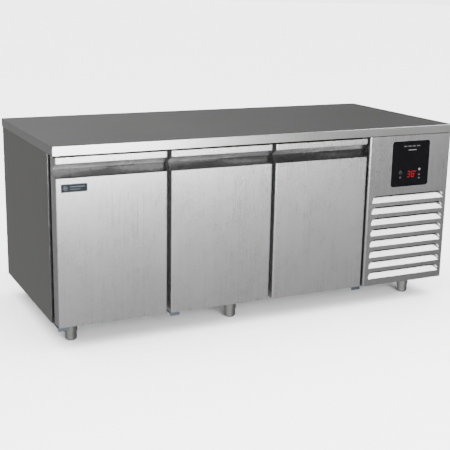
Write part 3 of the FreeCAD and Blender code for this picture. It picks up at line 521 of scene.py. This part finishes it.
# ---------------------------------------------------------------- control panel graphics
# Places on the control glass are shares of its width and height; offsets from them are metres,
# across and up.
CONTROL_PROUD = 0.00025
DISPLAY_PLACE = (0.53, 0.265)
POWER_PLACE = (0.245, 0.285)
ARROWS_PLACE = (0.755, 0.265)
LAMP_PLACE = (0.755, 0.36)
LABEL_PLACE = (0.53, 0.80)
TITLE_PLACE = (0.30, 0.885)
DISPLAY_DIGITS = (("3", (-0.012, 0.0)), ("8", (0.010, 0.0)))
DEGREE_OFFSET = (0.024, 0.011)
POWER_RING_OFFSET = (0.0, 0.006)
POWER_STROKE = 0.0014
POWER_BAR_BOTTOM = 0.005      # above the place
POWER_BAR_TOP = 0.015
FROST_OFFSET = (0.0, -0.016)
ARROW_OFFSETS = ((1, (0.0, -0.004)), (-1, (0.0, -0.020)))     # after the way each one points
ARROW_SIZE = 0.0075
TITLE_BARS = 4
TITLE_PITCH = 0.0225
TITLE_WIDTH = 0.017
TITLE_HALF_HEIGHT = 0.0022
LABEL_LEFT = -0.020           # from the place
LABEL_RIGHT = 0.022
LABEL_HALF_HEIGHT = 0.0016


def make_control_graphics():
    low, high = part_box("control_panel")
    depth = (low.y - CONTROL_PROUD, low.y + PRINT_SUNK)

    def at(place, offset=(0.0, 0.0)):
        """The (x, z) of a place on the glass, moved by an offset."""
        across, up = place
        x = low.x + across * (high.x - low.x)
        z = low.z + up * (high.z - low.z)
        return Vector((x, z)) + Vector(offset)

    bm = bmesh.new()
    for character, offset in DISPLAY_DIGITS:
        digit(bm, character, at(DISPLAY_PLACE, offset), depth)
    ring(bm, at(DISPLAY_PLACE, DEGREE_OFFSET), radius=0.0022, width=0.0011, depth=depth)
    new_piece("display_digits", bm, LED_RED, CABINET)

    bm = bmesh.new()
    ring(bm, at(POWER_PLACE, POWER_RING_OFFSET), radius=0.0068, width=POWER_STROKE, depth=depth,
         start=115.0, end=425.0)
    power = at(POWER_PLACE)
    add_plate(bm, power.x - POWER_STROKE / 2, power.y + POWER_BAR_BOTTOM,
              power.x + POWER_STROKE / 2, power.y + POWER_BAR_TOP, depth)
    snowflake(bm, at(POWER_PLACE, FROST_OFFSET), radius=0.0062, width=0.0009, depth=depth)
    for way, offset in ARROW_OFFSETS:
        arrow(bm, at(ARROWS_PLACE, offset), ARROW_SIZE, way, depth)
    new_piece("control_icons", bm, ICON_GREY, CABINET)

    bm = bmesh.new()
    ring(bm, at(LAMP_PLACE), radius=0.0028, width=0.0056, depth=depth)
    label = at(LABEL_PLACE)
    add_plate(bm, label.x + LABEL_LEFT, label.y - LABEL_HALF_HEIGHT,
              label.x + LABEL_RIGHT, label.y + LABEL_HALF_HEIGHT, depth)
    new_piece("control_marks", bm, ICON_WHITE, CABINET)

    bm = bmesh.new()
    title = at(TITLE_PLACE)
    for step in range(TITLE_BARS):
        left = title.x + step * TITLE_PITCH
        add_plate(bm, left, title.y - TITLE_HALF_HEIGHT,
                  left + TITLE_WIDTH, title.y + TITLE_HALF_HEIGHT, depth)
    new_piece("control_title_bars", bm, ICON_GREY, CABINET)


# ---------------------------------------------------------------- screws
PANEL_SCREW = 0.0034      # head radii
LEG_SCREW = 0.0048
SIDE_SCREW = 0.0030
PANEL_SCREW_EDGE = 0.018  # from a rear panel's edge to its rows of screws
BACK_COLUMNS = 7
BACK_COLUMN_EDGE = 0.030
LEG_PLATE = 0.003         # thickness
LEG_SCREW_OFFSET = 0.026  # from the leg's middle, both ways
SIDE_SCREW_END = 0.050
SIDE_SCREW_FRONT = 0.012
SIDE_SCREW_BACK = 0.014


def screws(name, places, direction, radius):
    """One piece of equal pan-head screws, each with a shallow round recess."""
    height = radius * 0.55
    profile = [(radius, 0.0), (radius, height * 0.35), (radius * 0.86, height * 0.8),
               (radius * 0.6, height), (radius * 0.45, height), (radius * 0.40, height * 0.35)]
    bm = bmesh.new()
    for place in places:
        add_lathe(bm, place, direction, profile)
    new_piece(name, bm, HINGE_STEEL, CABINET)


def make_screws():
    low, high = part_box("back_panel")
    pitch = (high.x - low.x - 2 * BACK_COLUMN_EDGE) / (BACK_COLUMNS - 1)
    columns = [low.x + BACK_COLUMN_EDGE + k * pitch for k in range(BACK_COLUMNS)]
    rows = (low.z + PANEL_SCREW_EDGE, high.z - PANEL_SCREW_EDGE)
    places = [(x, high.y, z) for x in columns for z in rows]
    screws("back_panel_screws", places, (0, 1, 0), PANEL_SCREW)

    low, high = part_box("rear_grille")
    columns = (low.x + PANEL_SCREW_EDGE, (low.x + high.x) / 2, high.x - PANEL_SCREW_EDGE)
    rows = (low.z + PANEL_SCREW_EDGE, high.z - PANEL_SCREW_EDGE)
    places = [(x, high.y, z) for x in columns for z in rows]
    screws("rear_grille_screws", places, (0, 1, 0), PANEL_SCREW)

    plate_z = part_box("legs")[1].z - LEG_PLATE
    places = []
    for number in FEET:
        low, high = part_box("foot_%d" % number)
        x, y = (low.x + high.x) / 2, (low.y + high.y) / 2
        for dx in (-LEG_SCREW_OFFSET, LEG_SCREW_OFFSET):
            for dy in (-LEG_SCREW_OFFSET, LEG_SCREW_OFFSET):
                places.append((x + dx, y + dy, plate_z))
    screws("leg_plate_screws", places, (0, 0, -1), LEG_SCREW)

    low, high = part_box("right_side_panel")
    rows = (low.z + SIDE_SCREW_END, (low.z + high.z) / 2, high.z - SIDE_SCREW_END)
    columns = (low.y + SIDE_SCREW_FRONT, high.y - SIDE_SCREW_BACK)
    places = [(high.x, y, z) for z in rows for y in columns]
    screws("side_panel_screws", places, (1, 0, 0), SIDE_SCREW)


make_badge_print()
make_control_graphics()
make_screws()


# ---------------------------------------------------------------- floor, light and camera
FLOOR_RADIUS = 88.0
BACKDROP_RADIUS = 90.0
BACKDROP_GLOW = 3.7

# brightness by height, 0 straight down, 0.5 at the horizon, 1 straight up
WORLD_BEHIND = [(0.0, 0.16), (0.42, 0.14), (0.60, 0.17), (1.0, 0.22)]
WORLD_AHEAD = [(0.0, 0.20), (0.38, 0.32), (0.52, 0.58), (1.0, 0.20)]
WORLD_SIDE = [(0.0, 1.0), (0.50, 1.0), (0.80, 0.38)]     # by X, left to right
WORLD_TURN = 0.4      # ahead, towards -Y, passes into behind between -0.4 and 0.4 of Y
WORLD_STRENGTH = 2.0
SKY_STRENGTH = 14.0
SKY_SPREAD = math.radians(100.0)

CAMERA_PLACE = Vector((-1.802, -3.675, 1.3535))
CAMERA_YAW = math.radians(25.99)      # to the right of straight ahead
CAMERA_PITCH = math.radians(14.18)    # downwards
CAMERA_ROLL = math.radians(1.06)
CAMERA_LENS = 75.69
SENSOR = 36.0
CLIP_END = 1000.0


def stage_piece(name, bm, material):
    """A piece of the studio that the steel doesn't mirror."""
    mesh = bpy.data.meshes.new(name)
    bm.to_mesh(mesh)
    bm.free()
    mesh.materials.append(material)
    piece = bpy.data.objects.new(name, mesh)
    bpy.context.scene.collection.objects.link(piece)
    piece.visible_glossy = False
    return piece


def make_floor():
    bm = bmesh.new()
    bmesh.ops.create_circle(bm, cap_ends=True, segments=96, radius=FLOOR_RADIUS)
    t = Tree("pale_floor", (0.92, 0.92, 0.92), roughness=0.8)
    t.set("Specular IOR Level", 0.1)
    cloud = t.noise(even(0.6), detail=3.0)
    t.tint(t.remap(cloud, 0.0, 1.0), (0.91, 0.91, 0.91), (0.93, 0.93, 0.93))
    stage_piece("studio_floor", bm, t.material)


def make_backdrop():
    """A pale surround that only the camera sees, so every view ends in the same plain studio."""
    bm = bmesh.new()
    bmesh.ops.create_uvsphere(bm, u_segments=48, v_segments=24, radius=BACKDROP_RADIUS)
    bmesh.ops.reverse_faces(bm, faces=bm.faces)
    t = Tree("pale_backdrop", (0.0, 0.0, 0.0), roughness=1.0)
    t.set("Specular IOR Level", 0.0)
    t.set("Emission Color", (1.0, 1.0, 1.0, 1.0))
    cloud = t.noise(even(0.01), detail=1.0)
    t.drive("Emission Strength", t.remap(cloud, BACKDROP_GLOW * 0.99, BACKDROP_GLOW * 1.01))
    backdrop = stage_piece("studio_backdrop", bm, t.material)
    backdrop.visible_diffuse = False
    backdrop.visible_transmission = False
    backdrop.visible_shadow = False


def area_light(name, place, aim, width, height, watts):
    data = bpy.data.lights.new(name, "AREA")
    data.shape = "RECTANGLE"
    data.size = width
    data.size_y = height
    data.energy = watts
    light = bpy.data.objects.new(name, data)
    light.location = place
    light.rotation_euler = (Vector(aim) - Vector(place)).to_track_quat("-Z", "Y").to_euler()
    bpy.context.scene.collection.objects.link(light)


def make_sky():
    """Even light from above that whitens the floor and leaves the steel's reflections alone."""
    data = bpy.data.lights.new("overhead_light", "SUN")
    data.energy = SKY_STRENGTH
    data.angle = SKY_SPREAD
    sky = bpy.data.objects.new("overhead_light", data)
    sky.visible_glossy = False
    bpy.context.scene.collection.objects.link(sky)


def make_world():
    """A soft surround: brightest at the horizon in front of the part, dim behind it, and dimmer
    towards its right."""
    world = bpy.data.worlds.new("studio_world")
    world.use_nodes = True
    nodes = world.node_tree.nodes
    links = world.node_tree.links
    split = nodes.new("ShaderNodeSeparateXYZ")
    links.new(nodes.new("ShaderNodeTexCoord").outputs["Generated"], split.inputs["Vector"])

    def share(value, low, high):
        """How far a value is on the way from low to high, 0 to 1."""
        node = nodes.new("ShaderNodeMapRange")
        node.inputs["From Min"].default_value = low
        node.inputs["From Max"].default_value = high
        links.new(value, node.inputs["Value"])
        return node.outputs["Result"]

    def ramp(value, stops):
        node = nodes.new("ShaderNodeValToRGB")
        links.new(value, node.inputs["Fac"])
        elements = node.color_ramp.elements
        while len(elements) < len(stops):
            elements.new(0.5)         # its position is set below
        for element, (place, grey) in zip(elements, stops):
            element.position = place
            element.color = (grey, grey, grey, 1.0)
        return node.outputs["Color"]

    def mix(first, second, kind):
        """A mix node of two colours: its factor and its result."""
        node = nodes.new("ShaderNodeMix")
        node.data_type = "RGBA"
        node.blend_type = kind
        for source, socket in zip((first, second), colour_sockets(node.inputs)):
            links.new(source, socket)
        return node.inputs["Factor"], colour_sockets(node.outputs)[0]

    height = share(split.outputs["Z"], -1.0, 1.0)
    by_height, turned = mix(ramp(height, WORLD_BEHIND), ramp(height, WORLD_AHEAD), "MIX")
    links.new(share(split.outputs["Y"], WORLD_TURN, -WORLD_TURN), by_height)
    side = ramp(share(split.outputs["X"], -1.0, 1.0), WORLD_SIDE)
    by_side, result = mix(turned, side, "MULTIPLY")
    by_side.default_value = 1.0
    background = nodes["Background"]
    links.new(result, background.inputs["Color"])
    background.inputs["Strength"].default_value = WORLD_STRENGTH
    bpy.context.scene.world = world


def make_camera():
    yaw, pitch, roll = CAMERA_YAW, CAMERA_PITCH, CAMERA_ROLL
    ahead = Vector((math.sin(yaw) * math.cos(pitch), math.cos(yaw) * math.cos(pitch), -math.sin(pitch)))
    right = Vector((math.cos(yaw), -math.sin(yaw), 0.0))
    up = right.cross(ahead)
    rolled_right = right * math.cos(roll) + up * math.sin(roll)
    rolled_up = up * math.cos(roll) - right * math.sin(roll)
    turn = Matrix((rolled_right, rolled_up, -ahead)).transposed()
    data = bpy.data.cameras.new("camera")
    data.lens = CAMERA_LENS
    data.sensor_width = SENSOR
    data.clip_end = CLIP_END
    camera = bpy.data.objects.new("camera", data)
    camera.matrix_world = Matrix.Translation(CAMERA_PLACE) @ turn.to_4x4()
    bpy.context.scene.collection.objects.link(camera)
    bpy.context.scene.camera = camera


make_floor()
make_backdrop()
make_world()
area_light("front_softbox", place=(-0.05, -5.4, 1.45), aim=(-0.05, 0.0, 1.2),
           width=3.6, height=2.9, watts=720.0)
area_light("right_softbox", place=(5.3, -5.2, 4.1), aim=(0.7, -0.4, 0.3),
           width=2.4, height=2.2, watts=230.0)
make_sky()
make_camera()
